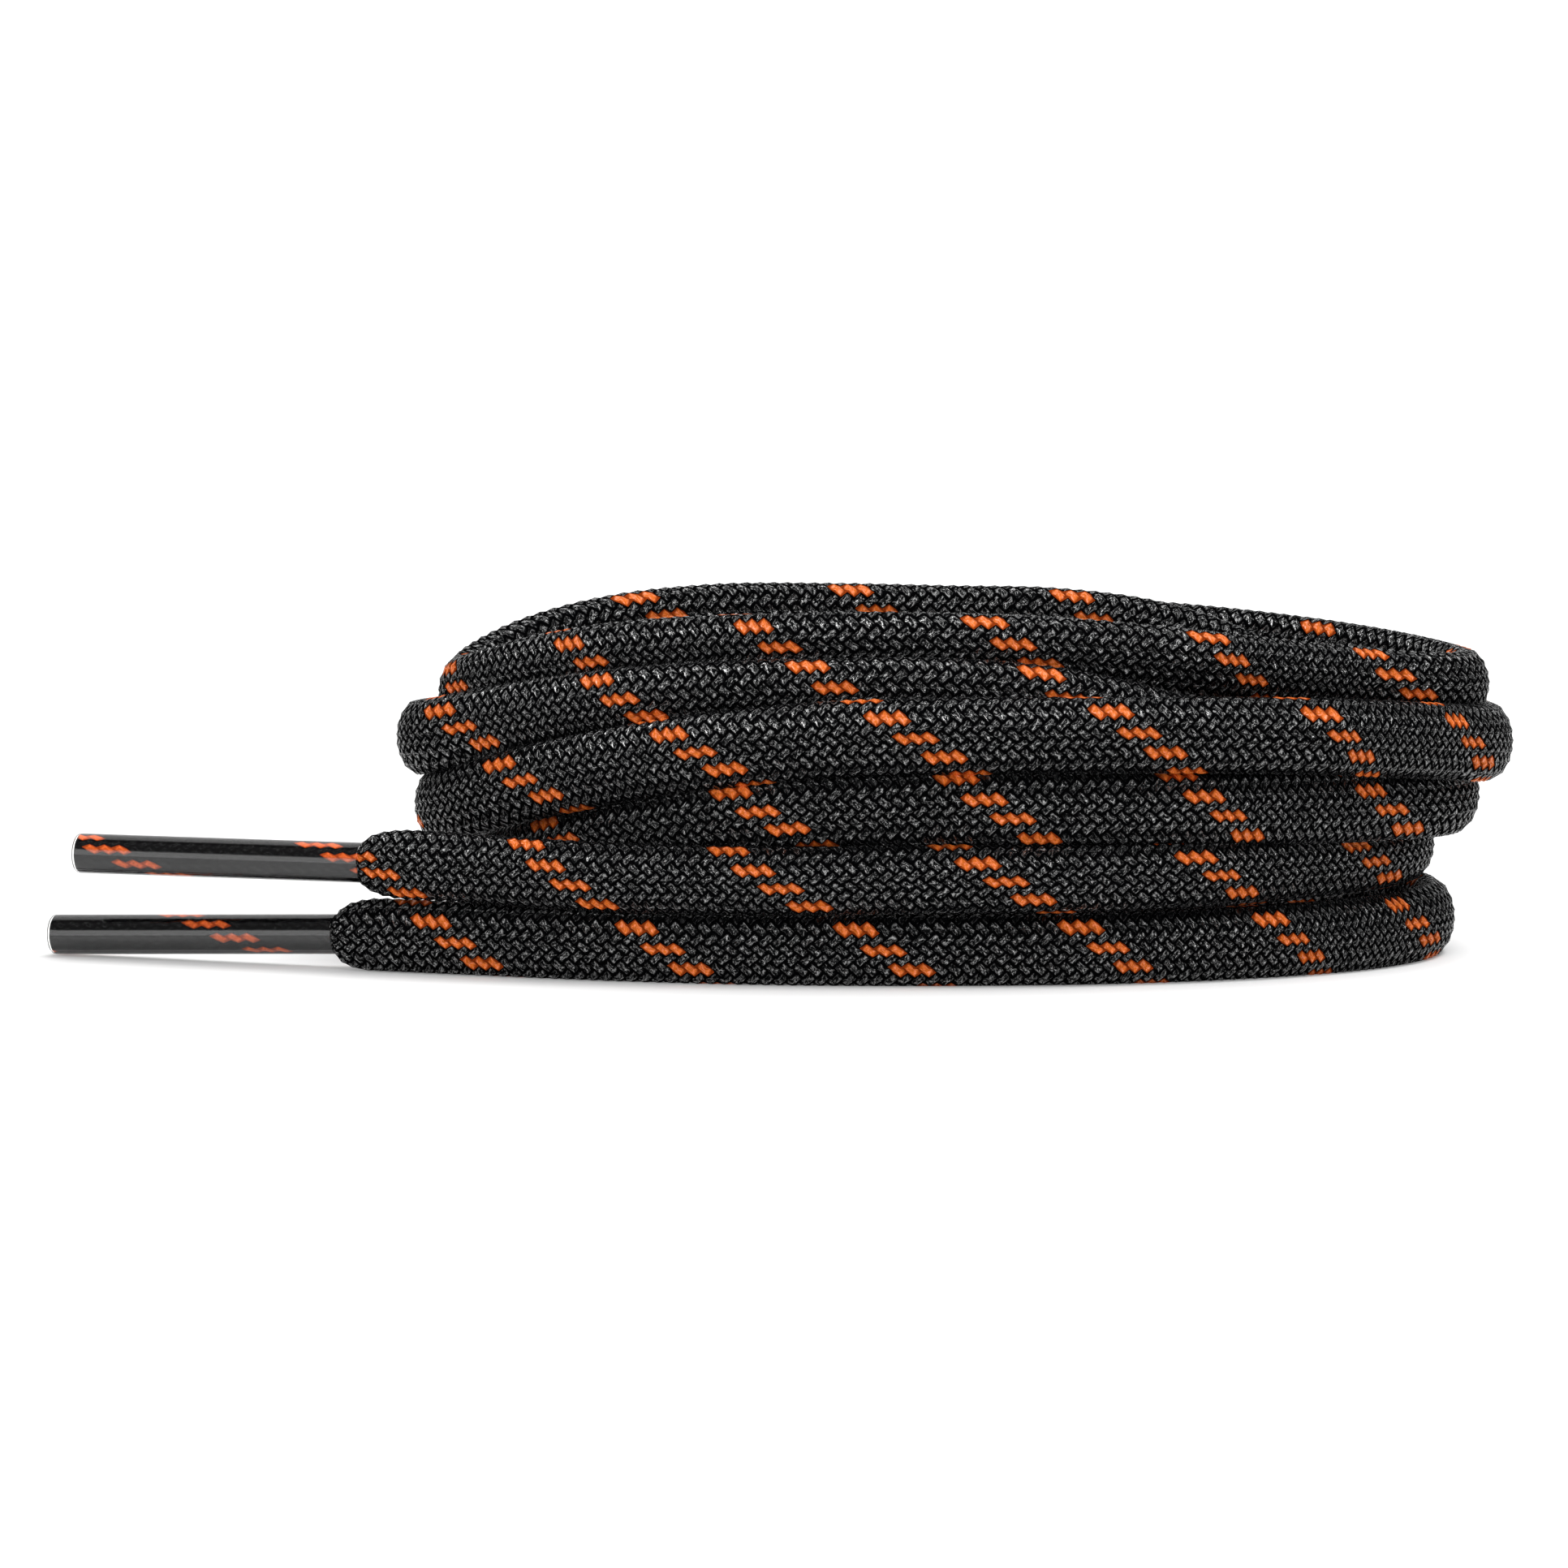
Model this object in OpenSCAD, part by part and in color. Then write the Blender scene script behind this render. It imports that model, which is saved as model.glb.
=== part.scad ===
// Wound boot lace: one oval braided lace, doubled, wound into a low oval pile with both
// aglets side by side at the left. Millimetres, +Z up, the pile's long side along X.
// The lace runs from aglet A into the lowest turn, up through the pile to a fold, and back
// down through the turns between to aglet B, so the two halves lie on each other in turn.

/* [Lace] */
// Height of the lace's oval section where it lies unpressed
lace_h = 4.7; // [4.4:0.1:4.9]
// Thickness of the lace's oval section
lace_w = 3.1; // [2.8:0.1:3.3]
// How much of that section the wound solid fills, so that its turns stay apart
form_fill = 0.83; // [0.78:0.01:0.84]

/* [Pile] */
// Length of the wound pile over its longest turn
pile_l = 75; // [72:1:82]
// Width of the wound pile over its widest turn
pile_w = 40; // [39:1:46]

/* [Aglets] */
// Length of the clear film tube on each end
aglet_l = 20.5; // [16:0.5:24]
// Outside diameter of the film tube
aglet_d = 2.7; // [2.4:0.1:3]
// Thickness of the rolled film
film_t = 0.2; // [0.15:0.05:0.3]
// How far the film reaches past the cut end of the lace
film_lip = 0.3; // [0.2:0.1:1]

/* [Hidden] */
$fn = 48;

// the wound solid's own section and how deep its lowest turn is cut flat
form_h = lace_h * form_fill;
form_w = lace_w * form_fill;
flat_cut = form_h / 10;

// the sizes at which the stations below hold, and the stretch to the sizes above
std_lace_h = 4.7;
std_pile_l = 75;
std_pile_w = 40;
kx = (pile_l - lace_w) / (std_pile_l - lace_w);
ky = (pile_w - lace_w) / (std_pile_w - lace_w);
kz = lace_h / std_lace_h;

// Stations of the winding, one each quarter turn: [reach from the middle, height, bow].
// They go front, right, back, left; a front or back reach is along Y, the others along X.
// The bow is how far the lace arches up half-way to the next station.
HALF_A = [[17.6, 2.35, 0], [32.2, 2.35, 0], [17.6, 2.35, 0], [30, 5.8, 0.6], [18, 11.6, 0],
          [33.8, 10.7, 0], [17.6, 10.8, 0], [35.4, 14.4, 0.8], [14.8, 18.6, -1.3],
          [27, 12.6, 1.5], [14.2, 20.7, 1.5], [32.6, 17.3, 0.9], [11.4, 21.3, -0.4],
          [34.4, 18, 0], [18.4, 19.8, 0]];
HALF_B = [[18.6, 7.1, 0], [30.8, 7.3, 0], [15.5, 7.3, 0], [34.2, 9.9, 0.3],
          [18.4, 16.4, 0.5], [36, 14.15, 0], [19, 15.6, 0]];
turns_a = 3.5;
turns_b = 1.375;
rings_per_turn = 24;

// the fold inside the pile, where the doubled lace turns back on itself
FOLD = [[-8, 17.8, 18.8], [-15, 15.2, 17.0], [-20, 10.5, 15.4], [-21.5, 4, 14.9],
        [-18, -1.6, 14.5], [-10.5, -3.4, 14.4], [-3, 0.6, 14.4], [4, 7.0, 14.5],
        [11, 12.4, 14.7], [18, 14.9, 14.8]];

// straight run at each end of the winding
run_in = 4;

// the free ends, from the winding to the aglets: [x, y, height, fullness]
TAIL_A = [[-4, -17.6, 2.35, 1], [-11, -17.2, 2.35, 1], [-18, -16.2, 2.35, 1],
          [-25, -14.5, 2.35, 1], [-31, -12.6, 2.35, 1], [-36, -11.0, 2.35, 1],
          [-37.5, -10.5, 2.35, 0.92], [-39, -9.95, 2.3, 0.6], [-40.5, -9.4, 2.3, 0]];
TAIL_B = [[-4, -18.6, 7.05, 1], [-11, -18.2, 6.95, 1], [-18, -17.2, 6.9, 1],
          [-25, -15.4, 6.95, 1], [-30, -13.8, 7.1, 1], [-34, -12.4, 7.2, 1],
          [-35.7, -11.8, 7.2, 0.92], [-37.2, -11.25, 7.2, 0.6], [-38.7, -10.7, 7.2, 0]];
tail_sides = 12;
neck_d = aglet_d - 0.1;

// how each aglet points: away from the front at the left, and down towards the floor
aglet_yaw = 20;
dip_a = 2.6;
dip_b = 0.6;

braid_black = [0.11, 0.11, 0.12];
pressed_black = [0.16, 0.14, 0.13];
clear_film = [0.85, 0.87, 0.88, 0.4];

function ease(u) = u * u * (3 - 2 * u);

// value at time t of a list of stations, every `step`-th one from `first`
function between(list, column, first, step, t) =
    let (s = (t - first) / step,
         last = floor((len(list) - 1 - first) / step),
         i = min(max(floor(s), 0), last - 1),
         u = min(max(s - i, 0), 1),
         a = list[first + i * step][column],
         b = list[first + (i + 1) * step][column])
    a + (b - a) * ease(u);

// how far the lace arches above the way between its stations, t quarter turns in
function bow(half, t) =
    let (i = min(floor(t), len(half) - 1), u = t - i)
    16 * half[i][2] * u * u * (1 - u) * (1 - u);

// point of a winding half after t quarter turns: an oval whose reach and height change
function turn_point(half, t) =
    [kx * between(half, 0, 1, 2, t) * sin(90 * t),
     -ky * between(half, 0, 0, 2, t) * cos(90 * t),
     between(half, 1, 0, 1, t) + bow(half, t)];

// The wound solid is thinner than the lace, so its lowest turn is let down onto the floor
// and the others are spread evenly up to the top one, which keeps its height.
top_z = HALF_A[12][1];
seat_z = form_h / 2 - flat_cut;
spread = (top_z * kz - seat_z) / (top_z - std_lace_h / 2);
function form_z(z) = seat_z + (z - std_lace_h / 2) * spread;
function seated(p) = [p.x, p.y, form_z(p.z)];
function placed(p) = [kx * p.x, ky * p.y, p.z];

steps_a = turns_a * rings_per_turn;
steps_b = turns_b * rings_per_turn;
coil_raw = concat(
    [[-run_in, -ky * HALF_A[0][0], HALF_A[0][1]]],
    [for (i = [0:steps_a]) turn_point(HALF_A, 4 * i / rings_per_turn)],
    [for (p = FOLD) placed(p)],
    [for (i = [steps_b:-1:0]) turn_point(HALF_B, 4 * i / rings_per_turn)],
    [[-run_in, -ky * HALF_B[0][0], HALF_B[0][1]]]);
coil_path = [for (p = coil_raw) seated(p)];

// A free end leaves the winding at its height and reaches the aglet at the lace's own.
function tail_path(tail) =
    [for (i = [0:len(tail) - 1])
        let (k = pow(i / (len(tail) - 1), 2),
             p = tail[i],
             x = -run_in + kx * (p.x + run_in),
             y = ky * p.y)
        [x, y, form_z(p.z) * (1 - k) + p.z * kz * k]];
path_a = tail_path(TAIL_A);
path_b = tail_path(TAIL_B);

function unit(v) = v / norm(v);
function aglet_way(dip) =
    [-cos(aglet_yaw) * cos(dip), sin(aglet_yaw) * cos(dip), -sin(dip)];

// tangent at each ring, with the two end ones given
function tangents(path, first, last) =
    [for (i = [0:len(path) - 1])
        i == 0 ? first : i == len(path) - 1 ? last : unit(path[i + 1] - path[i - 1])];

// one ring of `sides` points round p, square to the way t, h high and w across
function ring(p, t, h, w, sides) =
    let (across = unit(cross(t, [0, 0, 1])), up = cross(across, t), full = cos(180 / sides))
    [for (k = [0:sides - 1])
        let (a = 90 + 360 * k / sides)
        p + across * w / 2 * cos(a) / (sides == 6 ? full : 1) + up * h / 2 * sin(a)];

// closed tube through rings of equal count, all faces triangles
module tube(rings) {
    n = len(rings[0]);
    last = len(rings) - 1;
    points = [for (r = rings) each r];
    sides = [for (i = [0:last - 1], k = [0:n - 1])
        let (a = i * n + k, b = i * n + (k + 1) % n)
        each [[a, b, b + n], [a, b + n, a + n]]];
    start = [for (k = [1:n - 2]) [0, k + 1, k]];
    end = [for (k = [1:n - 2]) [last * n, last * n + k, last * n + k + 1]];
    polyhedron(points, concat(start, sides, end), convexity = 20);
}

coil_ways = tangents(coil_path, [1, 0, 0], [-1, 0, 0]);
coil_rings = [for (i = [0:len(coil_path) - 1])
    ring(coil_path[i], coil_ways[i], form_h, form_w, 6)];

function tail_rings(tail, path, dip) =
    let (ways = tangents(path, [-1, 0, 0], aglet_way(dip)))
    [for (i = [0:len(path) - 1])
        let (k = tail[i][3],
             h = form_h * k + neck_d * (1 - k),
             w = form_w * k + neck_d * (1 - k))
        ring(path[i], ways[i], h, w, tail_sides)];
rings_a = tail_rings(TAIL_A, path_a, dip_a);
rings_b = tail_rings(TAIL_B, path_b, dip_b);

// the part's origin is the middle of its box, on the floor
tip_reach = aglet_d / 2 * sin(aglet_yaw);
end_a = path_a[len(path_a) - 1];
end_b = path_b[len(path_b) - 1];
tip_a = end_a + aglet_l * aglet_way(dip_a);
coil_all = [for (r = coil_rings) each r];
x_min = tip_a.x - tip_reach;
x_max = max([for (p = coil_all) p.x]);
y_min = min([for (p = concat(coil_all, rings_b[0], rings_b[1])) p.y]);
y_max = max([for (p = coil_all) p.y]);
middle = [(x_min + x_max) / 2, (y_min + y_max) / 2, 0];

// Least gap of the winding to itself, over every ring and the middles between them: the
// section is oval, so the way between two centres is measured against the oval across it.
function oval_gap(d) =
    let (far = norm([d.z / form_h, norm([d.x, d.y]) / form_w]))
    norm(d) * (1 - 1 / far);
gap_rings = 5;
gap_near = 7;
probe = [for (i = [0:len(coil_path) - 2]) each
    [coil_path[i], (coil_path[i] + coil_path[i + 1]) / 2]];
gaps = [for (i = [0:len(probe) - 1], j = [i + 2 * gap_rings:1:len(probe) - 1])
    let (d = probe[i] - probe[j])
    if (abs(d.x) < gap_near && abs(d.y) < gap_near && abs(d.z) < gap_near) oval_gap(d)];
echo(least_gap_to_itself_mm = min(gaps));  // wound_lace

function length_along(path) =
    len(path) < 2 ? 0
    : [for (i = 1, s = norm(path[1] - path[0]);
            i < len(path);
            i = i + 1, s = s + (i < len(path) ? norm(path[i] - path[i - 1]) : 0)) s]
      [len(path) - 2];
echo(lace_length_mm = length_along(coil_path) + length_along(path_a)
    + length_along(path_b) + 2 * (aglet_l - film_lip));
echo(box_middle_mm = middle);

// the half space above the floor
floor_reach = 2 * (pile_l + aglet_l);
module above_floor() {
    intersection() {
        children();
        translate([-floor_reach / 2, -floor_reach / 2, 0])
            cube([floor_reach, floor_reach, floor_reach]);
    }
}

module wound_lace() {
    color(braid_black) above_floor() tube(coil_rings);
}

module lace_tail_a() {
    color(braid_black) above_floor() tube(rings_a);
}

module lace_tail_b() {
    color(braid_black) tube(rings_b);
}

// puts its children's +Z along an aglet, from where the lace enters it
module on_aglet(start, dip) {
    translate(start) rotate([0, 90 + dip, 180 - aglet_yaw]) children();
}

module pressed_end() {
    color(pressed_black) cylinder(h = aglet_l - film_lip, d = aglet_d - 2 * film_t);
}

module aglet_film() {
    color(clear_film) difference() {
        cylinder(h = aglet_l, d = aglet_d);
        translate([0, 0, -1]) cylinder(h = aglet_l + 2, d = aglet_d - 2 * film_t);
    }
}

module pressed_end_a() {
    on_aglet(end_a, dip_a) pressed_end();
}

module pressed_end_b() {
    on_aglet(end_b, dip_b) pressed_end();
}

module aglet_film_a() {
    on_aglet(end_a, dip_a) aglet_film();
}

module aglet_film_b() {
    on_aglet(end_b, dip_b) aglet_film();
}

translate(-middle) {
    wound_lace();
    lace_tail_a();
    lace_tail_b();
    pressed_end_a();
    pressed_end_b();
    aglet_film_a();
    aglet_film_b();
}
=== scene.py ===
# %% [markdown]
# # A wound boot lace
# One oval braided lace, about a metre long, doubled and wound by hand into a low oval pile.
# Both ends come out at the left, side by side, each in a clear film aglet.
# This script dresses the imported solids: it repeats the lace's route, sweeps a real braid along
# it stitch by stitch, and puts the pressed ends and the film on the two aglets.

import math

import bmesh
import bpy
import numpy as np
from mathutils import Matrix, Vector


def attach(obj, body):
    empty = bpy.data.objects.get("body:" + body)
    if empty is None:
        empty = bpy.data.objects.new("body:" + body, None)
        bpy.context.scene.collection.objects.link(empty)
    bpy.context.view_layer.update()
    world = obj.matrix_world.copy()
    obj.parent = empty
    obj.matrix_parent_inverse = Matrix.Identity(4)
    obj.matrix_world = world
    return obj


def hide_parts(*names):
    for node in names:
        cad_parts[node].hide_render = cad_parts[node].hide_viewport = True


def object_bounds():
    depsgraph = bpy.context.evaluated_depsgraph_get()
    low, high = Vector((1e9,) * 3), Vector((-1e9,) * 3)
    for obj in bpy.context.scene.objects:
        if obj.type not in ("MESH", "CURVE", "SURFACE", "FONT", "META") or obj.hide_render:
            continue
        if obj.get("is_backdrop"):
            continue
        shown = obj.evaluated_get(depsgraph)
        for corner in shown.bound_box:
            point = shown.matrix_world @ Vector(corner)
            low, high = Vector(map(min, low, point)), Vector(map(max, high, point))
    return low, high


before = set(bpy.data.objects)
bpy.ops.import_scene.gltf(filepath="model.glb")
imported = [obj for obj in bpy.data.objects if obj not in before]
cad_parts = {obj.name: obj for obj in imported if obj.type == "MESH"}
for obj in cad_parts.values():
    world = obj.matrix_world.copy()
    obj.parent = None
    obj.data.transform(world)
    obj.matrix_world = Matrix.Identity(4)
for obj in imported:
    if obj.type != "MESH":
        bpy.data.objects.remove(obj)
cad_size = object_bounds()

# %% [markdown]
# ## Sizes
# All lengths are in metres. The lace's section is an oval that stands on its narrow side,
# because the turns are laid on edge against each other.

# %% Sizes
LACE_W = 0.0031  # its short way
AGLET_LENGTH = 0.0205
AGLET_D = 0.0027
FILM_T = 0.0002  # wall of the film tube
FILM_LIP = 0.00015  # clear film past the cut end of the braid
AGLET_YAW = math.radians(20)  # how far the aglets turn out of the pile's long way
DIP_A = math.radians(2.6)  # how far the tip of aglet A hangs down
DIP_B = math.radians(0.6)
MIDDLE = Vector((-0.0114595, -0.0000998, 0))  # middle of the pile's box, the frame's origin
UP = np.array((0.0, 0.0, 1.0))

# %% [markdown]
# ## The route
# A lace in storage is folded in half and wound as a pair, so its two halves lie in turn.
# Each half has one station for every quarter turn: front, right, back, left. A station is the
# reach from the middle and the height of the lace's centre. The reach changes evenly between
# stations, which gives the slightly untidy ovals of a lace wound round the fingers. A third
# number bows the lace up or down between its station and the next, where it rides over a turn.

# %% Stations of the two halves, the fold between them and the free ends
HALF_A = [(0.0176, 0.00235, 0.0000), (0.0322, 0.00235, 0.0000), (0.0176, 0.00235, 0.0000),
          (0.0300, 0.0058, 0.0006), (0.0180, 0.0116, 0.0000), (0.0338, 0.0107, 0.0000),
          (0.0176, 0.0108, 0.0000), (0.0354, 0.0144, 0.0008), (0.0148, 0.0186, -0.0013),
          (0.0270, 0.0126, 0.0015), (0.0142, 0.0207, 0.0015), (0.0326, 0.0173, 0.0009),
          (0.0114, 0.0213, -0.0004), (0.0344, 0.0180, 0.0000), (0.0184, 0.0198, 0.0000)]
HALF_B = [(0.0186, 0.0071, 0.0000), (0.0308, 0.0073, 0.0000), (0.0155, 0.0073, 0.0000),
          (0.0342, 0.0099, 0.0003), (0.0184, 0.0164, 0.0005), (0.0360, 0.01415, 0.0000),
          (0.0190, 0.0156, 0.0000)]
TURNS_A = 3.5
TURNS_B = 1.375
RINGS_PER_TURN = 24
STEPS_PER_KNOT = 12  # points of the smooth line from one knot of the route to the next
FOLD = [(-0.008, 0.0178, 0.0188), (-0.015, 0.0152, 0.0170), (-0.020, 0.0105, 0.0154),
        (-0.0215, 0.004, 0.0149), (-0.018, -0.0016, 0.0145), (-0.0105, -0.0034, 0.0144),
        (-0.003, 0.0006, 0.0144), (0.004, 0.0070, 0.0145), (0.011, 0.0124, 0.0147),
        (0.018, 0.0149, 0.0148)]
TAIL_A = [(-0.004, -0.0176, 0.00235), (-0.011, -0.0172, 0.00235), (-0.018, -0.0162, 0.00235),
          (-0.025, -0.0145, 0.00235), (-0.031, -0.0126, 0.00235), (-0.036, -0.0110, 0.00235),
          (-0.0375, -0.0105, 0.00235), (-0.039, -0.00995, 0.0023), (-0.0405, -0.0094, 0.0023)]
TAIL_B = [(-0.004, -0.0186, 0.00705), (-0.011, -0.0182, 0.00695), (-0.018, -0.0172, 0.0069),
          (-0.025, -0.0154, 0.00695), (-0.030, -0.0138, 0.0071), (-0.034, -0.0124, 0.0072),
          (-0.0357, -0.0118, 0.0072), (-0.0372, -0.01125, 0.0072), (-0.0387, -0.0107, 0.0072)]


def ease(u):
    """Share of a change that is done after share u of the way, with a soft start and end."""
    return u * u * (3 - 2 * u)


def between(values, t):
    """Value at time t of a list with one value each unit of time."""
    i = min(max(int(math.floor(t)), 0), len(values) - 2)
    u = min(max(t - i, 0.0), 1.0)
    return values[i] + (values[i + 1] - values[i]) * ease(u)


def bow(half, t):
    """How far the lace bows up between the station before t and the next."""
    i = min(int(math.floor(t)), len(half) - 1)
    u = t - i
    return half[i][2] * 16 * u * u * (1 - u) * (1 - u)


def turn_point(half, t):
    """Point of a winding half after t quarter turns."""
    along = between([station[0] for station in half[1::2]], (t - 1) / 2)
    aside = between([station[0] for station in half[0::2]], t / 2)
    height = between([station[1] for station in half], t) + bow(half, t)
    angle = math.radians(90 * t)
    return (along * math.sin(angle), -aside * math.cos(angle), height)


def route_knots():
    """The lace's centre line from aglet A to aglet B, in the frame's own axes."""
    steps_a = int(TURNS_A * RINGS_PER_TURN)
    steps_b = int(TURNS_B * RINGS_PER_TURN)
    knots = list(reversed(TAIL_A))
    knots += [turn_point(HALF_A, 4 * i / RINGS_PER_TURN) for i in range(steps_a + 1)]
    knots += FOLD
    knots += [turn_point(HALF_B, 4 * i / RINGS_PER_TURN) for i in range(steps_b, -1, -1)]
    knots += TAIL_B
    return [np.array(p) - np.array(MIDDLE) for p in knots]


def smooth_line(knots, per_span):
    """A centripetal spline through the knots, with per_span points from each to the next."""
    first, last = 2 * knots[0] - knots[1], 2 * knots[-1] - knots[-2]
    pts = [first, *knots, last]
    line = []
    for p0, p1, p2, p3 in zip(pts, pts[1:], pts[2:], pts[3:]):
        t1 = np.linalg.norm(p1 - p0) ** 0.5
        t2 = t1 + np.linalg.norm(p2 - p1) ** 0.5
        t3 = t2 + np.linalg.norm(p3 - p2) ** 0.5
        for k in range(per_span):
            t = t1 + (t2 - t1) * k / per_span
            a1 = (t1 - t) / t1 * p0 + t / t1 * p1
            a2 = (t2 - t) / (t2 - t1) * p1 + (t - t1) / (t2 - t1) * p2
            a3 = (t3 - t) / (t3 - t2) * p2 + (t - t2) / (t3 - t2) * p3
            b1 = (t2 - t) / t2 * a1 + t / t2 * a2
            b2 = (t3 - t) / (t3 - t1) * a2 + (t - t1) / (t3 - t1) * a3
            line.append((t2 - t) / (t2 - t1) * b1 + (t - t1) / (t2 - t1) * b2)
    line.append(knots[-1])
    return np.array(line)


class Line:
    """A centre line that gives its point and its cross directions at any distance along it."""

    def __init__(self, points):
        steps = np.linalg.norm(np.diff(points, axis=0), axis=1)
        self.at = np.concatenate([[0], np.cumsum(steps)])
        self.points = points
        ways = np.gradient(points, self.at, axis=0)
        self.ways = ways / np.linalg.norm(ways, axis=1)[:, None]
        self.length = float(self.at[-1])

    def sample(self, s):
        """Point, direction across and direction up at the distances s along the line."""
        pick = lambda rows: np.stack([np.interp(s, self.at, rows[:, k]) for k in range(3)], -1)
        way = pick(self.ways)
        way /= np.linalg.norm(way, axis=-1, keepdims=True)
        across = np.cross(way, UP)
        across /= np.linalg.norm(across, axis=-1, keepdims=True)
        return pick(self.points), across, np.cross(across, way)


lace_line = Line(smooth_line(route_knots(), STEPS_PER_KNOT))
print(f"The lace runs {lace_line.length * 1000:.0f} mm from aglet to aglet.")

# %% [markdown]
# ## The braid
# The lace is a 32-carrier braid: sixteen yarns wind one way and sixteen the other, and each
# passes over two and under two. On the surface that makes sixteen rows of slanted stitches,
# eight leaning one way and eight the other, like rows of knitting. Three neighbouring yarns
# that wind the first way are orange, so the same three stitches come back once a lead.
# The mesh is a flat grid bent round the oval, with two faces along and two across for each
# stitch: the crown of each stitch stands up, and its ends reach between its neighbours'.

# %% How the braid is laid out
ROWS = 16  # rows of stitches round the lace
PRESSED_STITCH = 0.00107  # length of a stitch where the aglet squeezes the braid long
TRACERS = 3  # orange yarns side by side
YARNS = 16  # yarns that wind one way, which is also the stitches in a lead
ROW_STEP = 2  # stitches that a yarn moves on from one of its rows to the next
LEAN = 0.44  # how far a stitch leans along the lace over one row, in stitches
TOOTH = 0.22  # how far a stitch's end reaches into the next row, in rows
CROWN = 0.00017  # how far the middle of a stitch stands above its edges
PRESSED_CROWN = 0.00004
END_CROWN = 0.4  # share of that at the stitch's ends
NECK_D = AGLET_D - 2 * FILM_T
NECK_LENGTH = 0.0034  # the swell from the aglet to the full lace
ROW_CROWDING = 0.24  # rows lie this share closer on the flat faces than over the edges
OVAL_STEPS = 720
FLOOR_CLEAR = 0.00001  # no stitch comes nearer to the floor than this
MERGE = 1e-6  # points closer together than this are one


def oval_table(h, w):
    """Points of half sizes w/2 across and h/2 up, evenly spaced round the oval's edge."""
    turn = np.linspace(0, 2 * math.pi, OVAL_STEPS + 1)
    edge = np.stack([w / 2 * np.sin(turn), h / 2 * np.cos(turn)], -1)
    run = np.concatenate([[0], np.cumsum(np.linalg.norm(np.diff(edge, axis=0), axis=1))])
    share = np.linspace(0, run[-1], OVAL_STEPS + 1)
    return np.stack([np.interp(share, run, edge[:, k]) for k in range(2)], -1)


# The lace's oval is a blend of these two heights, which lie beyond the ones it really takes.
TALL, SHORT = 0.0055, 0.0040
TALL_OVAL = oval_table(TALL + CROWN, LACE_W + CROWN)
SHORT_OVAL = oval_table(SHORT + CROWN, LACE_W + CROWN)
ROUND = oval_table(1.0, 1.0)


def on_table(table, share):
    """Point of an oval table at a share of the way round, from the top towards the right."""
    at = np.mod(share, 1.0) * OVAL_STEPS
    steps = np.arange(OVAL_STEPS + 1)
    return np.stack([np.interp(at, steps, table[:, k]) for k in range(2)], -1)


def zigzag(q):
    """Shift along the lace, in stitches, of the grid's q-th line: the yarns' slant."""
    q = np.mod(q, 4)
    return LEAN * np.where(q <= 2, q / 2, 2 - q / 2)


def stitch_relief(r, q):
    """Height of a grid point above the braid's ground, from 0 in a groove to 1 on a crown."""
    leaning_on = np.mod(q, 4) == 1
    leaning_back = np.mod(q, 4) == 3
    odd = np.mod(r, 2) == 1
    crown = (leaning_on & odd) | (leaning_back & ~odd)
    row_edge = np.mod(q, 2) == 0
    return np.where(crown, 1.0, np.where(row_edge, END_CROWN, 0.0))


def tooth_shift(r, q):
    """How far a point on a row's edge moves round the lace, in rows, into the next row."""
    odd = np.where(np.mod(r, 2) == 1, 1.0, -1.0)
    side = np.where(np.mod(q, 4) == 2, 1.0, -1.0)
    return np.where(np.mod(q, 2) == 0, odd * side * TOOTH, 0.0)


def cut_from_odd(face, relief):
    """Whether a face's highest corner is an odd one, so that its cut runs from the crown."""
    return max((relief[v.index], k % 2) for k, v in enumerate(face.verts))[1] == 1


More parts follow.
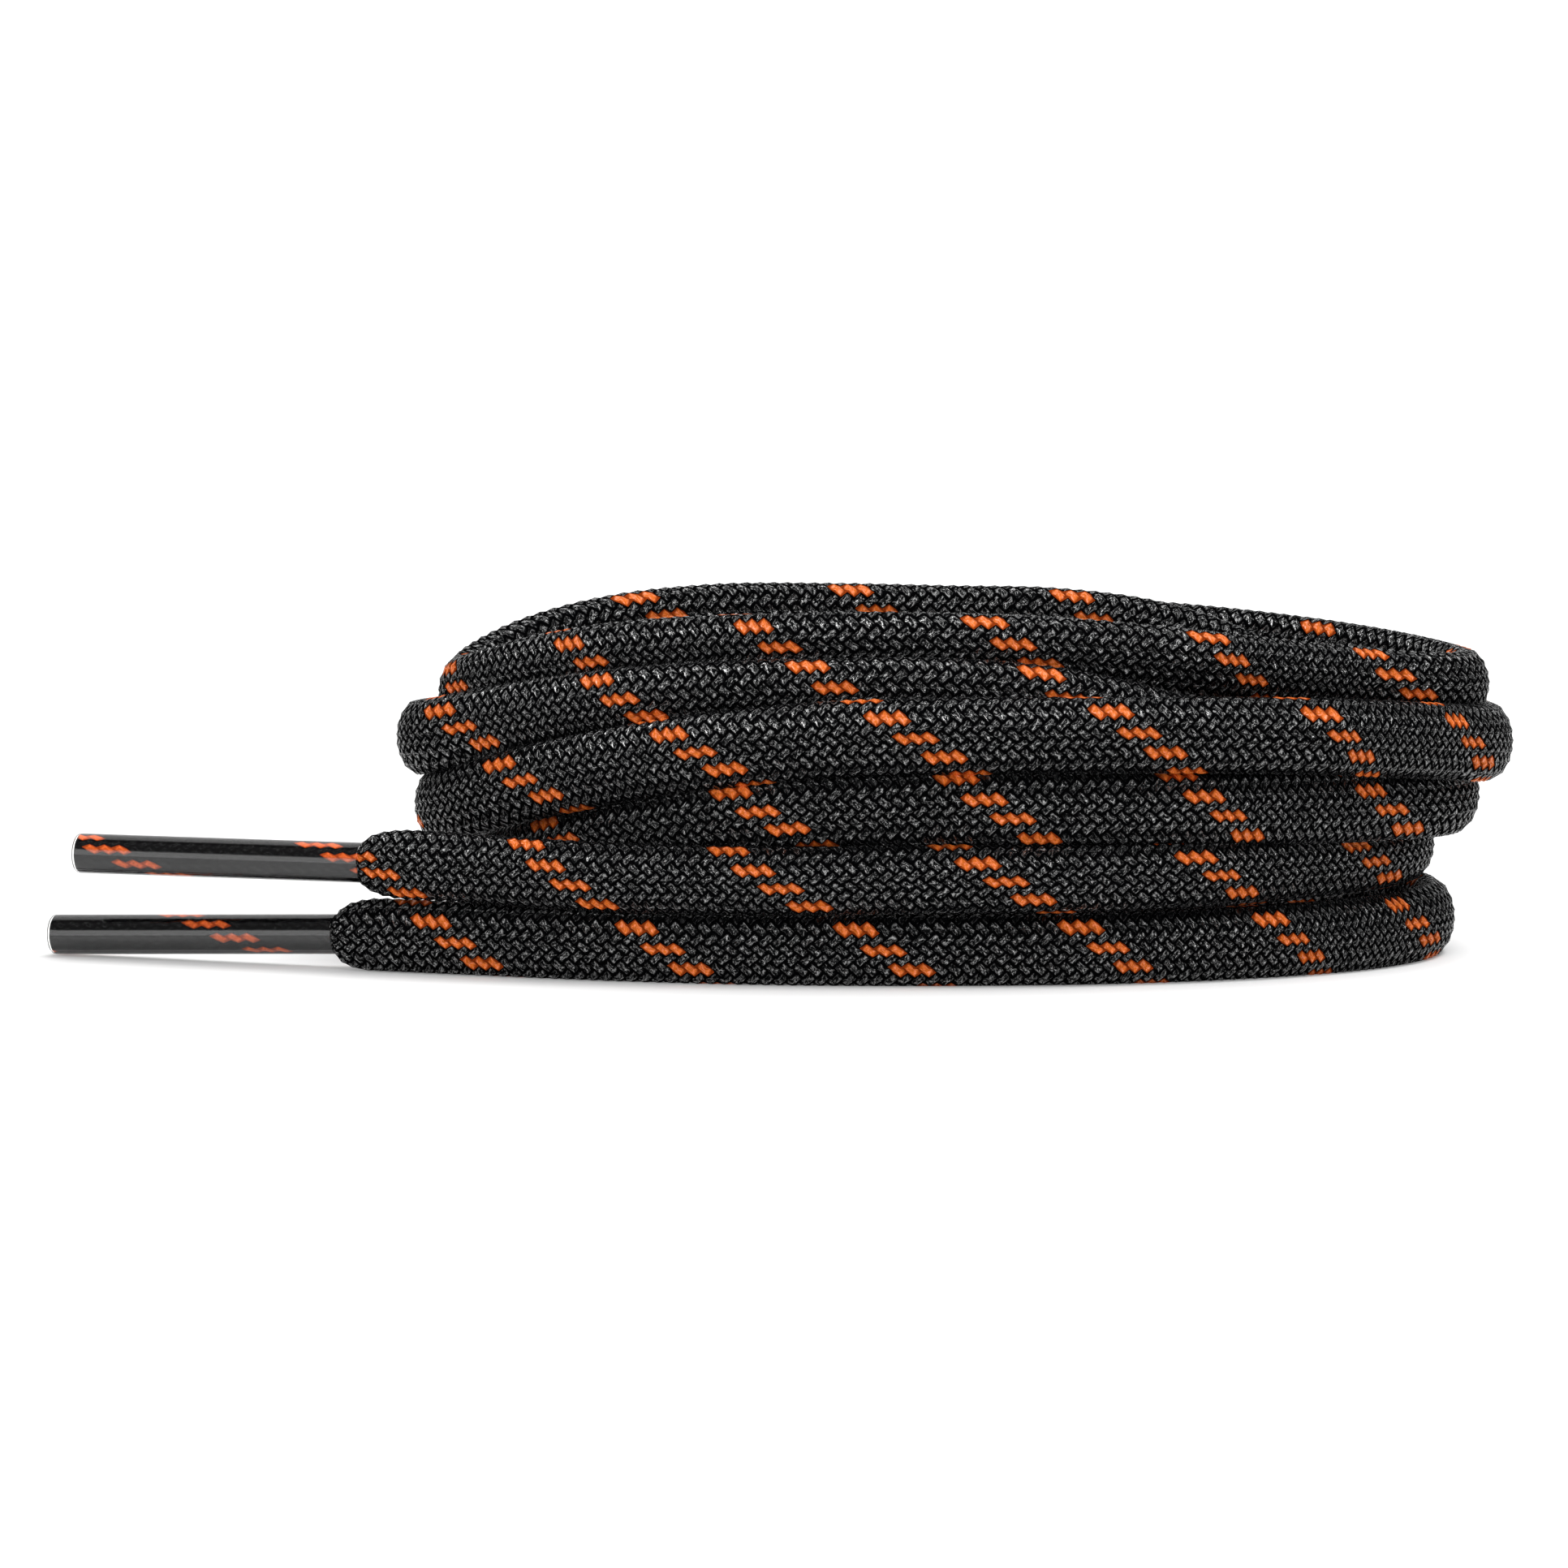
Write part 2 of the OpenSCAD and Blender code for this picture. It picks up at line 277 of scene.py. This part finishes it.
def braid(name, line, count, section, roll, first_stitch, crown):
    """A braid along a line. count lists (distance along it, stitches up to there), section(s,
    share) is its outline and roll(s) its twist, in turns. first_stitch sets where the orange
    yarns begin, and crown is how far a stitch stands up."""
    distances, stitches = zip(*count)
    half_steps = int(math.ceil(stitches[-1] * 2)) + 2
    bm = bmesh.new()
    bmesh.ops.create_grid(bm, x_segments=half_steps, y_segments=2 * ROWS, size=0.5)
    bm.verts.ensure_lookup_table()
    grid = np.array([v.co for v in bm.verts])
    r = np.rint((grid[:, 0] + 0.5) * half_steps)
    q = np.rint((grid[:, 1] + 0.5) * 2 * ROWS)
    s = np.interp(r / 2 - 1 + zigzag(q), stitches, distances)
    share = (q / 2 + tooth_shift(r, q)) / ROWS + roll(s)
    relief = stitch_relief(r, q)
    centre, across, up = line.sample(s)
    flat = section(s, share)
    out = flat / np.maximum(np.linalg.norm(flat, axis=1), 1e-9)[:, None]
    flat = flat + out * (crown * (relief - 1))[:, None]
    co = centre + across * flat[:, :1] + up * flat[:, 1:]
    co[:, 2] = np.maximum(co[:, 2], FLOOR_CLEAR)
    uv = bm.loops.layers.uv.new("stitches")
    for face in bm.faces:
        face.smooth = True
        rows = [r[v.index] for v in face.verts]
        cols = [q[v.index] for v in face.verts]
        row = int(min(cols) // 2)
        at = int(min(rows))
        leans_on = row % 2 == 0
        stitch_at = at // 2 if leans_on else (at + 1) // 2
        yarn = (stitch_at + first_stitch - ROW_STEP * (row // 2)) % YARNS
        face.material_index = 1 if leans_on and yarn < TRACERS else 0
        for loop in face.loops:
            loop[uv].uv = (r[loop.vert.index] / 2, q[loop.vert.index] / 2)
    for v, p in zip(bm.verts, co):
        v.co = p
    # Each four-sided face is cut from its stitch's crown, so that both leans look the same.
    from_odd = [f for f in bm.faces if cut_from_odd(f, relief)]
    from_even = [f for f in bm.faces if not cut_from_odd(f, relief)]
    bmesh.ops.triangulate(bm, faces=from_even, quad_method="FIXED")
    bmesh.ops.triangulate(bm, faces=from_odd, quad_method="ALTERNATE")
    bmesh.ops.remove_doubles(bm, verts=bm.verts, dist=MERGE)
    mesh = bpy.data.meshes.new(name)
    bm.to_mesh(mesh)
    bm.free()
    piece = bpy.data.objects.new(name, mesh)
    bpy.context.scene.collection.objects.link(piece)
    print(name, len(mesh.polygons), "triangles")
    return piece


# %% [markdown]
# ## The lace
# The lace swells from the pressed end in each aglet to its full oval within a few
# millimetres. A braided tube has no stiffness of its own: it bulges where it lies loose, and is
# flatter in the second turn up, which carries the pile's weight. Its stitches crowd together
# where the lace is bent and draw out where it was pulled straight, so the braid is laid by a
# count of stitches along the lace and not by one fixed length.

# %% The lace's section, its twist, and the piece itself
# How tall the lace stands as (distance from aglet A, height): the turns bulge between their
# contact lines, the second turn up is squeezed, and the top one is drawn thin at its bend.
HEIGHTS = [(0.06, 0.0049), (0.09, 0.005), (0.505, 0.005), (0.53, 0.0045), (0.556, 0.0045),
           (0.585, 0.005), (0.8, 0.005), (0.83, 0.0045)]
# Stitches counted from aglet A as (distance, stitches). They are packed closer where the
# lace bends away at the pile's ends, and drawn out between.
STITCHES = [(0, 0.6), (0.0087, 10.6), (0.0229, 26.8), (0.0369, 42.6), (0.0512, 58.4),
            (0.0638, 74.5), (0.0736, 90.3), (0.1871, 219.7), (0.2015, 235.7), (0.2157, 251.7),
            (0.228, 268.5), (0.333, 379.1), (0.3439, 394.6), (0.3582, 410.8), (0.3719, 425.5),
            (0.4257, 485.7), (0.4405, 501.2), (0.456, 517.8), (0.4767, 538.4), (0.4867, 554.4),
            (0.4992, 570.6), (0.5132, 585.3), (0.5282, 601.8), (0.5385, 617.3), (0.704, 802.8),
            (0.7144, 819), (0.7286, 835.2), (0.743, 851.4), (0.7573, 867.5), (0.769, 882.6),
            (0.8714, 995.3), (0.8831, 1011.1), (0.8962, 1025.9), (0.9123, 1043.8),
            (0.9259, 1059.7), (0.9383, 1074.9), (lace_line.length, 1076.8)]
# Twist of the braid as (distance, turns). A lace rolls a little in the fingers.
ROLLS = [(0.009, 0.1), (0.037, 0.08), (0.064, 0.065), (0.074, 0.045), (0.187, 0.05),
         (0.202, 0.015), (0.228, -0.01), (0.333, 0.085), (0.344, 0.035), (0.358, 0.02),
         (0.426, 0.045), (0.456, 0.045), (0.487, 0.075), (0.5, 0.055), (0.513, 0.027),
         (0.546, 0.015), (0.704, 0.105), (0.729, 0.125), (0.743, 0.1), (0.769, 0.115),
         (0.871, 0.085), (0.896, 0.094), (0.912, 0.055), (0.938, 0.04)]


def lace_section(s, share):
    """Oval of the lace at distance s from aglet A, at a share of the way round."""
    from_b = lace_line.length - s
    to_end = np.clip(np.minimum(s, from_b) / NECK_LENGTH, 0, 1)
    full = np.sqrt(1 - (1 - to_end) ** 2)[:, None]
    height = np.interp(s, [x for x, _ in HEIGHTS], [y for _, y in HEIGHTS])
    tall = ((height - SHORT) / (TALL - SHORT))[:, None]
    share = np.mod(share, 1.0)
    share = share + ROW_CROWDING / (4 * math.pi) * np.sin(4 * math.pi * share)
    oval = on_table(TALL_OVAL, share) * tall + on_table(SHORT_OVAL, share) * (1 - tall)
    return oval * full + on_table(ROUND, share) * AGLET_D * (1 - full)


def lace_roll(s):
    """Twist of the braid at distance s from aglet A, in turns."""
    return np.interp(s, [x for x, _ in ROLLS], [y for _, y in ROLLS])


lace = braid("lace", lace_line, STITCHES, lace_section, lace_roll, first_stitch=8,
             crown=CROWN)

# %% [markdown]
# ## The pressed ends
# Inside the aglet the same braid is squeezed round and thin, so its stitches are longer and
# its rows closer together. The ends are cut square with the film, so each is closed by a cap.

# %% Pressed ends
AGLET_STEPS = 39
SHRUNK_ON = 0.00006  # the film is shrunk onto the braid, so no air is left between them
CORE_D = NECK_D + SHRUNK_ON


def aglet_way(dip):
    """Direction in which an aglet points, with its tip hanging down by the angle dip."""
    return np.array((-math.cos(AGLET_YAW) * math.cos(dip), math.sin(AGLET_YAW) * math.cos(dip),
                     -math.sin(dip)))


def aglet_line(start, dip, length):
    """Straight centre line of an aglet."""
    way = aglet_way(dip)
    return Line(np.array([start + way * length * i / AGLET_STEPS
                          for i in range(AGLET_STEPS + 1)]))


def pressed_section(s, share):
    """Round outline of the pressed braid, the same at every distance s."""
    return on_table(ROUND, share) * CORE_D


START_A = np.array(TAIL_A[-1]) - np.array(MIDDLE)
START_B = np.array(TAIL_B[-1]) - np.array(MIDDLE)
PRESSED_LENGTH = AGLET_LENGTH - FILM_LIP
PRESSED_COUNT = PRESSED_LENGTH / PRESSED_STITCH


def pressed_end(name, start, dip, roll, first_stitch, shift):
    """The braid inside an aglet. shift moves its stitches along, in stitches, and roll turns
    it, in turns."""
    line = aglet_line(start, dip, PRESSED_LENGTH)
    count = [(0, shift), (PRESSED_LENGTH, PRESSED_COUNT + shift)]
    return braid(name, line, count, pressed_section, lambda s: roll, first_stitch,
                 PRESSED_CROWN)


def close_ends(piece):
    """Flat caps of cut yarn on the ends of a pressed braid."""
    bm = bmesh.new()
    bm.from_mesh(piece.data)
    rim = [e for e in bm.edges if e.is_boundary]
    bmesh.ops.holes_fill(bm, edges=rim, sides=0)
    bmesh.ops.recalc_face_normals(bm, faces=bm.faces)
    bm.to_mesh(piece.data)
    bm.free()


pressed_a = pressed_end("pressed_braid_a", START_A, DIP_A, roll=0.2058, first_stitch=3,
                        shift=-0.73)
pressed_b = pressed_end("pressed_braid_b", START_B, DIP_B, roll=0.655, first_stitch=2,
                        shift=-0.1)
close_ends(pressed_a)
close_ends(pressed_b)

# %% [markdown]
# ## The aglet films
# An aglet is a strip of clear acetate rolled tight round the pressed lace and welded along
# its edge, so it has a faint step along its length and softly rounded rims.

# %% Aglet films
FILM_SIDES = 96
FILM_STEPS = 24  # faces along the straight wall
RIM_ROUND = 0.00008  # radius of the rounded rims
RIM_STEPS = 5
SEAM_STEP = 0.00004  # height of the step where the strip's edge lies on itself
SEAM_AT = 0.62  # share of the way round where the strip's edge lies
FILM_MERGE = 1e-7


def film_profile():
    """Closed outline of the film's wall: (distance along, radius), from the inner rim round."""
    outer, inner, r = AGLET_D / 2, AGLET_D / 2 - FILM_T, RIM_ROUND
    corner = [(1 - math.cos(a), 1 - math.sin(a))
              for a in np.linspace(0, math.pi / 2, RIM_STEPS)]
    near_out = [(r * a, outer - r * b) for a, b in corner]
    far_out = [(AGLET_LENGTH - r * a, outer - r * b) for a, b in reversed(corner)]
    straight = [(AGLET_LENGTH * k / FILM_STEPS, outer) for k in range(1, FILM_STEPS)]
    back = [(AGLET_LENGTH - r * a, inner + r * b) for a, b in corner]
    home = [(r * a, inner + r * b) for a, b in reversed(corner)]
    return near_out + straight + far_out + back + home


def film(name, start, dip):
    """Film tube of an aglet: its wall's outline swept round, with the strip's welded step."""
    line = aglet_line(start, dip, AGLET_LENGTH)
    outline = film_profile()
    bm = bmesh.new()
    bmesh.ops.create_grid(bm, x_segments=len(outline), y_segments=FILM_SIDES, size=0.5)
    for v in bm.verts:
        i = round((v.co.x + 0.5) * len(outline)) % len(outline)
        share = (v.co.y + 0.5) % 1.0
        along, radius = outline[i]
        wrap = (share - SEAM_AT) % 1.0
        radius += SEAM_STEP * (1 - wrap) * (radius > AGLET_D / 2 - FILM_T / 2) - SEAM_STEP
        centre, across, up = line.sample(np.array([along]))
        turn = 2 * math.pi * share
        v.co = centre[0] + across[0] * radius * math.sin(turn) + up[0] * radius * math.cos(turn)
    bmesh.ops.remove_doubles(bm, verts=bm.verts, dist=FILM_MERGE)
    bmesh.ops.recalc_face_normals(bm, faces=bm.faces)
    for face in bm.faces:
        face.smooth = True
    mesh = bpy.data.meshes.new(name)
    bm.to_mesh(mesh)
    bm.free()
    piece = bpy.data.objects.new(name, mesh)
    bpy.context.scene.collection.objects.link(piece)
    print(name, len(mesh.polygons), "faces")
    return piece


film_a = film("aglet_film_tube_a", START_A, DIP_A)
film_b = film("aglet_film_tube_b", START_B, DIP_B)

# %% [markdown]
# ## Materials
# Two yarns, each as it is in the open braid and as it is under the film, and the film.
# Every yarn is a bundle of fine, bright polyester filaments with hardly any twist. The stitch
# itself is in the mesh. The material adds what is finer: the round swell of the bundle, a
# painted shade that darkens the groove where it dives under the next one, and a grain of
# filaments that glint one by one.
# All three are drawn in counts of stitches and rows, so they keep to the braid at every bend.

# %% Node helpers
def srgb(code):
    """Linear colour from an sRGB hex code such as #1b1b1d."""
    parts = [int(code[i:i + 2], 16) / 255 for i in (1, 3, 5)]
    return [c / 12.92 if c <= 0.04045 else ((c + 0.055) / 1.055) ** 2.4 for c in parts] + [1.0]


def material(name):
    """A new material with its node tree and its shader."""
    mat = bpy.data.materials.new(name)
    mat.use_nodes = True
    return mat, mat.node_tree, mat.node_tree.nodes["Principled BSDF"]


def node(tree, kind, inputs=None, **settings):
    """Adds a node, sets its fields, and links or sets its inputs by name or number."""
    made = tree.nodes.new(kind)
    for key, value in settings.items():
        setattr(made, key, value)
    for key, value in (inputs or {}).items():
        if isinstance(value, bpy.types.NodeSocket):
            tree.links.new(value, made.inputs[key])
        else:
            made.inputs[key].default_value = value
    return made


# %% Yarn: each stitch is a plump bundle of filaments, with painted shade in the groove round it
PLUMPNESS = 0.6  # below 1 a stitch rises fast at its edges and is flat on its crown
GRAIN = (5.5, 3.7, 1.0)  # filament grain over one stitch along and one row across
# GROOVE also sets how far the painted groove shade reaches up each stitch.
GROOVE = (0.2, 0.52)  # swell up to which the yarn is groove and from which it is crown
SPARKS = (0.49, 0.63)  # grain from which filaments begin to glint, and glint most


def yarn(name, painted_groove_shade, crown, roughness, relief, fuzz, shine):
    """Filament yarn from a painted shade in its grooves to its crown colour. relief is how far,
    in metres, a stitch swells, fuzz how rough it is, and shine how strongly its threads glint."""
    mat, tree, shader = material(name)

    def maths(operation, a, b=0.0):
        return node(tree, "ShaderNodeMath", {0: a, 1: b}, operation=operation).outputs[0]

    # A dome over each stitch. In every other row the stitches begin half a stitch further on.
    place = node(tree, "ShaderNodeUVMap", uv_map="stitches")
    axes = node(tree, "ShaderNodeSeparateXYZ", {0: place.outputs["UV"]})
    odd_row = maths("MODULO", maths("FLOOR", axes.outputs["Y"]), 2.0)
    along = maths("FRACT", maths("ADD", axes.outputs["X"], maths("MULTIPLY", odd_row, 0.5)))
    around = maths("FRACT", axes.outputs["Y"])
    dome = maths("MULTIPLY", maths("PINGPONG", along, 0.5), maths("PINGPONG", around, 0.5))
    swell = maths("POWER", maths("MULTIPLY", dome, 4.0), PLUMPNESS)
    # The filaments' grain, on top of the dome.
    threads = node(tree, "ShaderNodeMapping", {"Vector": place.outputs["UV"],
                                               "Scale": GRAIN})
    strands = node(tree, "ShaderNodeTexNoise", {"Vector": threads.outputs[0], "Scale": 1.0,
                                                "Detail": 4.0, "Roughness": 0.75})
    height = maths("ADD", swell, maths("MULTIPLY", strands.outputs["Fac"], fuzz))
    raised = node(tree, "ShaderNodeBump", {"Height": height, "Distance": relief,
                                           "Strength": 1.0})
    # Colour and gloss from the groove to the crown: the darker groove colour is painted shade.
    # The colour is a little uneven with the grain.
    depth = node(tree, "ShaderNodeMapRange", {"Value": swell, "From Min": GROOVE[0],
                                              "From Max": GROOVE[1]},
                 interpolation_type="SMOOTHSTEP")
    base = node(tree, "ShaderNodeMix", {"Factor": depth.outputs[0]}, data_type="RGBA")
    base.inputs[6].default_value = srgb(painted_groove_shade)  # the mix node's first colour
    base.inputs[7].default_value = srgb(crown)  # and its second
    shade = node(tree, "ShaderNodeMapRange", {"Value": strands.outputs["Fac"], "From Min": 0.3,
                                              "From Max": 0.7, "To Min": 0.6, "To Max": 1.4})
    toned = node(tree, "ShaderNodeVectorMath", {0: base.outputs[2], 1: shade.outputs[0]},
                 operation="MULTIPLY")
    gloss = node(tree, "ShaderNodeMapRange", {"Value": depth.outputs[0],
                                              "To Min": 0.9, "To Max": roughness})
    # Only the raised filaments of a crown glint.
    glint = node(tree, "ShaderNodeMapRange", {"Value": strands.outputs["Fac"],
                                              "From Min": SPARKS[0], "From Max": SPARKS[1],
                                              "To Min": 0.0, "To Max": shine})
    tree.links.new(maths("MULTIPLY", glint.outputs[0], depth.outputs[0]),
                   shader.inputs["Specular IOR Level"])
    tree.links.new(toned.outputs[0], shader.inputs["Base Color"])
    tree.links.new(gloss.outputs[0], shader.inputs["Roughness"])
    tree.links.new(raised.outputs[0], shader.inputs["Normal"])
    return mat


# %% [markdown]
# The film is clear acetate, thin and smooth, shrunk onto the braid. Light has to pass it to
# reach the yarn, so for shadows it only takes away a little.


# %% Film
def clear_film(name):
    """Clear acetate with a smooth gloss; lamps shine through it onto the braid."""
    mat, tree, shader = material(name)
    shader.inputs["Base Color"].default_value = srgb("#fafaf8")
    shader.inputs["Transmission Weight"].default_value = 1.0
    shader.inputs["IOR"].default_value = 1.62
    shader.inputs["Roughness"].default_value = 0.06
    ray = node(tree, "ShaderNodeLightPath")
    lit = node(tree, "ShaderNodeBsdfTransparent", {"Color": srgb("#ededeb")})
    both = node(tree, "ShaderNodeMixShader", {0: ray.outputs["Is Shadow Ray"],
                                              1: shader.outputs[0], 2: lit.outputs[0]})
    tree.links.new(both.outputs[0], tree.nodes["Material Output"].inputs["Surface"])
    return mat


# %% [markdown]
# The open black yarn glints most. Under the film the yarns are pressed flat and wetted by the
# adhesive, so they lose their sparkle, and what shines there is the film.

# %% The five materials on their pieces
OPEN_RELIEF = 0.0003
PRESSED_RELIEF = 0.00004
# Each yarn's first colour is painted shade for its grooves, and the second is its own colour on
# the crowns.
BLACK = yarn("black_polyester_yarn", "#050506", "#0e0f10", roughness=0.2,
             relief=OPEN_RELIEF, fuzz=0.5, shine=6.0)
ORANGE = yarn("orange_polyester_yarn", "#8c3610", "#f07830", roughness=0.36,
              relief=OPEN_RELIEF, fuzz=0.4, shine=2.2)
BLACK_PRESSED = yarn("black_yarn_pressed_under_film", "#030304", "#050506", roughness=0.4,
                     relief=PRESSED_RELIEF, fuzz=0.5, shine=0.3)
ORANGE_PRESSED = yarn("orange_yarn_pressed_under_film", "#9c3c12", "#dc6226", roughness=0.5,
                      relief=PRESSED_RELIEF, fuzz=0.5, shine=0.3)
FILM = clear_film("clear_acetate_film")
for piece, mats in ((lace, (BLACK, ORANGE)), (pressed_a, (BLACK_PRESSED, ORANGE_PRESSED)),
                    (pressed_b, (BLACK_PRESSED, ORANGE_PRESSED)), (film_a, (FILM,)),
                    (film_b, (FILM,))):
    for mat in mats:
        piece.data.materials.append(mat)

# %% [markdown]
# ## Floor, light and camera
# A small object on a white table. A wide soft box hangs over it, a weaker one stands in front,
# and pale walls low on the near left show as the grey lower half of each shiny film. The rest
# of the room is dark, which keeps the black yarn black. The table is white to the eye, in
# mirrors and through glass, but lights the lace no more than a pale table would.


# %% Table
def seen_or_mirrored(tree):
    """1 for what is looked at straight, in a mirror or through glass, and 0 for light."""
    ray = node(tree, "ShaderNodeLightPath")
    mirrored = node(tree, "ShaderNodeMath", {0: ray.outputs["Is Glossy Ray"],
                                             1: ray.outputs["Is Transmission Ray"]},
                    operation="MAXIMUM")
    return node(tree, "ShaderNodeMath", {0: ray.outputs["Is Camera Ray"],
                                         1: mirrored.outputs[0]},
                operation="MAXIMUM").outputs[0]


FLOOR_HALF = 6.0
floor_bm = bmesh.new()
bmesh.ops.create_grid(floor_bm, x_segments=1, y_segments=1, size=FLOOR_HALF)
floor_mesh = bpy.data.meshes.new("floor")
floor_bm.to_mesh(floor_mesh)
floor_bm.free()
floor = bpy.data.objects.new("floor", floor_mesh)
bpy.context.scene.collection.objects.link(floor)
table, table_tree, table_shader = material("white_table")
table_shader.inputs["Base Color"].default_value = srgb("#dddddd")
table_shader.inputs["Roughness"].default_value = 0.7
table_shader.inputs["Specular IOR Level"].default_value = 0.0
glow = node(table_tree, "ShaderNodeEmission", {"Color": srgb("#ffffff"), "Strength": 0.2})
lifted = node(table_tree, "ShaderNodeAddShader", {0: table_shader.outputs[0],
                                                  1: glow.outputs[0]})
shown = node(table_tree, "ShaderNodeMixShader", {0: seen_or_mirrored(table_tree),
                                                 1: table_shader.outputs[0],
                                                 2: lifted.outputs[0]})
table_tree.links.new(shown.outputs[0], table_tree.nodes["Material Output"].inputs["Surface"])
floor.data.materials.append(table)
floor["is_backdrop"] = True

# %% The room
world = bpy.data.worlds.new("studio")
bpy.context.scene.world = world
world.use_nodes = True
room = world.node_tree
way = node(room, "ShaderNodeTexCoord")
parts = node(room, "ShaderNodeSeparateXYZ", {0: way.outputs["Generated"]})


def ramp(value, low, high, at_low, at_high):
    """A value that goes from at_low to at_high while the given one goes from low to high."""
    return node(room, "ShaderNodeMapRange", {"Value": value, "From Min": low, "From Max": high,
                                             "To Min": at_low, "To Max": at_high}).outputs[0]


def joined(operation, a, b=0.0):
    """One or two of the room's values joined by the given maths operation."""
    return node(room, "ShaderNodeMath", {0: a, 1: b}, operation=operation).outputs[0]


# Pale walls on the near side, low and to the left.
walls = joined("MULTIPLY", ramp(parts.outputs["Z"], 0.38, 0.5, 2.2, 0.13),
               joined("MULTIPLY", ramp(parts.outputs["X"], -0.1, 0.5, 1.0, 0.1),
                      ramp(parts.outputs["Y"], -0.1, 0.3, 1.0, 0.1)))
# A white backdrop behind, as wide as the table.
drop = joined("MULTIPLY", ramp(parts.outputs["Y"], 0.2, 0.4, 0.0, 1.0),
              ramp(joined("ABSOLUTE", parts.outputs["X"]), 0.35, 0.6, 1.0, 0.05))
soft = node(room, "ShaderNodeBackground", {"Color": srgb("#ffffff"),
                                           "Strength": joined("MAXIMUM", walls, drop)})
white = node(room, "ShaderNodeBackground", {"Color": srgb("#ffffff"), "Strength": 1.0})
# The eye sees plain white on every side, also through the film. Shiny pieces mirror the
# backdrop and the walls.
seen = node(room, "ShaderNodeLightPath")
straight = node(room, "ShaderNodeMath", {0: seen.outputs["Is Camera Ray"],
                                         1: seen.outputs["Is Transmission Ray"]},
                operation="MAXIMUM")
pick = node(room, "ShaderNodeMixShader", {0: straight.outputs[0], 1: soft.outputs[0],
                                          2: white.outputs[0]})
room.links.new(pick.outputs[0], room.nodes["World Output"].inputs[0])


def soft_sun(name, azimuth, height, spread, strength):
    """An even, wide light from an azimuth (0 is behind the camera) and a height, in degrees."""
    data = bpy.data.lights.new(name, "SUN")
    data.angle = math.radians(spread)
    data.energy = strength
    light = bpy.data.objects.new(name, data)
    turn, rise = math.radians(azimuth), math.radians(height)
    way = Vector((math.sin(turn) * math.cos(rise), -math.cos(turn) * math.cos(rise),
                  math.sin(rise)))
    light.rotation_euler = way.to_track_quat("Z", "Y").to_euler()
    bpy.context.scene.collection.objects.link(light)
    light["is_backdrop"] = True
    return light


# %% Two soft boxes
soft_sun("top_box", azimuth=95, height=70, spread=36, strength=3.0)
soft_sun("front_box", azimuth=0, height=52, spread=30, strength=0.8)

# %% [markdown]
# A long lens from 0.6 m away, a little above the table, so that the turns show as a stack.

# %% Camera
VIEW_DISTANCE = 0.6
VIEW_HEIGHT = math.radians(6.5)
LOOK_AT = Vector((0.00036, 0.0001, 0.0112))
camera_data = bpy.data.cameras.new("camera")
camera_data.sensor_width = 36  # millimetres, as is the lens
camera_data.lens = 206.0
camera_data.clip_start = 0.01
camera = bpy.data.objects.new("camera", camera_data)
camera.location = LOOK_AT + VIEW_DISTANCE * Vector((0, -math.cos(VIEW_HEIGHT),
                                                    math.sin(VIEW_HEIGHT)))
camera.rotation_euler = (math.pi / 2 - VIEW_HEIGHT, 0, 0)
bpy.context.scene.collection.objects.link(camera)
bpy.context.scene.camera = camera
camera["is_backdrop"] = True

scene = bpy.context.scene
scene.view_settings.view_transform = "Standard"

# %% [markdown]
# ## What stands for what
# The lace takes the place of the wound solid and both free ends; each pressed end and each
# film takes the place of its own solid.

# %% Hand over to the frame
BODY = "lace"
for piece, slot_name, nodes in (
        (lace, "braid", ("wound_lace", "lace_tail_a", "lace_tail_b")),
        (pressed_a, "pressed_braid", ("pressed_end_a",)),
        (pressed_b, "pressed_braid", ("pressed_end_b",)),
        (film_a, "film", ("aglet_film_a",)),
        (film_b, "film", ("aglet_film_b",))):
    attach(piece, BODY)
    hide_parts(*nodes)
dressed_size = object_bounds()
for name, (low, high) in (("cad", cad_size), ("dressed", dressed_size)):
    print(name, "size in mm:", [round((b - a) * 1000, 2) for a, b in zip(low, high)])
